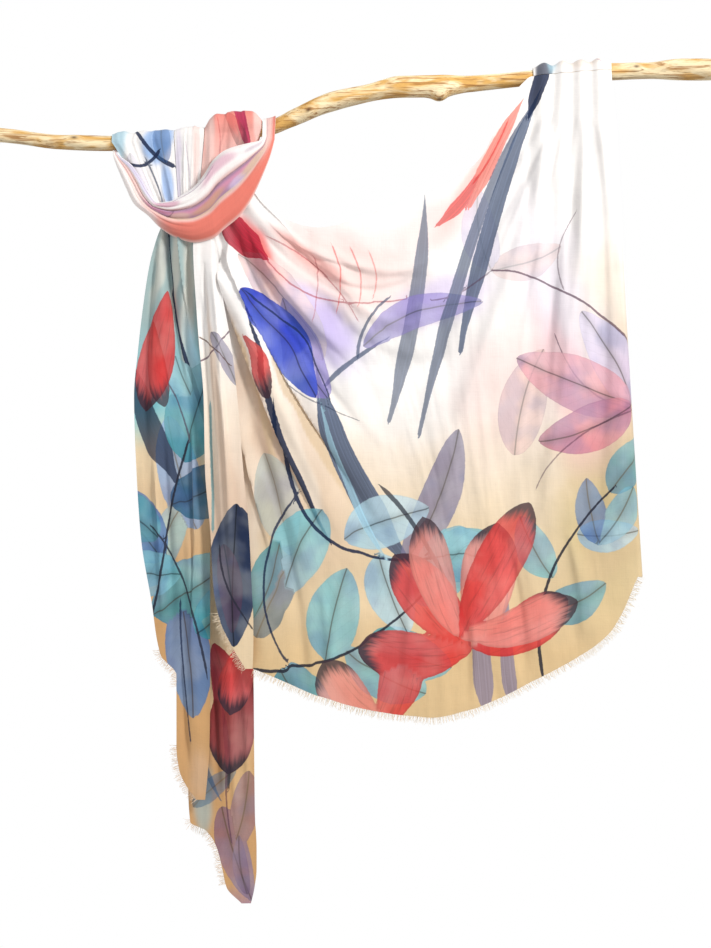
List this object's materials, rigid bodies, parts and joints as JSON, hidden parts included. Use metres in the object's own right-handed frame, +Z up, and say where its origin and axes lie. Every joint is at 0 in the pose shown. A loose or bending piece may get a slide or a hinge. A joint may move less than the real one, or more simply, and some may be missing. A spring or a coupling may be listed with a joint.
{
  "type": "cotton scarf on a branch",
  "caption": "Long thin printed cotton scarf with eyelash fringe, knotted at one end of a driftwood branch and swagged over it to the other end.",
  "frame": {"origin": "on the branch's axis, where the branch is held, between the knot and the peak", "axes": "+X along the branch towards the viewer's right, +Y away from the viewer, +Z up"},
  "size_m": [1.018, 0.0681, 1.1848],
  "materials": {
    "peeled_branch_wood": "peeled and sun-dried, satin",
    "blue_wrap_cotton": "plain-weave printed cotton, matt",
    "white_wrap_cotton": "plain-weave printed cotton, matt",
    "coral_wrap_cotton": "plain-weave printed cotton, matt",
    "knot_band_cotton": "plain-weave printed cotton, matt",
    "front_panel_cotton": "plain-weave printed cotton, matt",
    "peak_wrap_cotton": "plain-weave printed cotton, matt",
    "rear_panel_cotton": "plain-weave printed cotton, matt",
    "edge_pleat_cotton": "plain-weave printed cotton, matt",
    "tail_left_cotton": "plain-weave printed cotton, matt",
    "tail_right_cotton": "plain-weave printed cotton, matt",
    "hem_fringe_yarn": "loose cotton yarn ends",
    "rear_hem_fringe_yarn": "loose cotton yarn ends",
    "pleat_fringe_yarn": "loose cotton yarn ends",
    "tail_left_corner_fringe_yarn": "loose cotton yarn ends",
    "tail_left_fringe_yarn": "loose cotton yarn ends",
    "tail_right_fringe_yarn": "loose cotton yarn ends"
  },
  "bodies": {
    "root": {"branch": "peeled_branch_wood", "wrap_blue": "blue_wrap_cotton", "wrap_white": "white_wrap_cotton", "wrap_coral": "coral_wrap_cotton", "knot_band": "knot_band_cotton", "front_panel": "front_panel_cotton", "peak_wrap": "peak_wrap_cotton", "rear_panel": "rear_panel_cotton", "edge_pleat": "edge_pleat_cotton", "tail_left": "tail_left_cotton", "tail_right": "tail_right_cotton", "hem_fringe": "hem_fringe_yarn", "rear_hem_fringe": "rear_hem_fringe_yarn", "pleat_fringe": "pleat_fringe_yarn", "tail_left_corner_fringe": "tail_left_corner_fringe_yarn", "tail_left_fringe": "tail_left_fringe_yarn", "tail_right_fringe": "tail_right_fringe_yarn"}
  },
  "joints": []
}
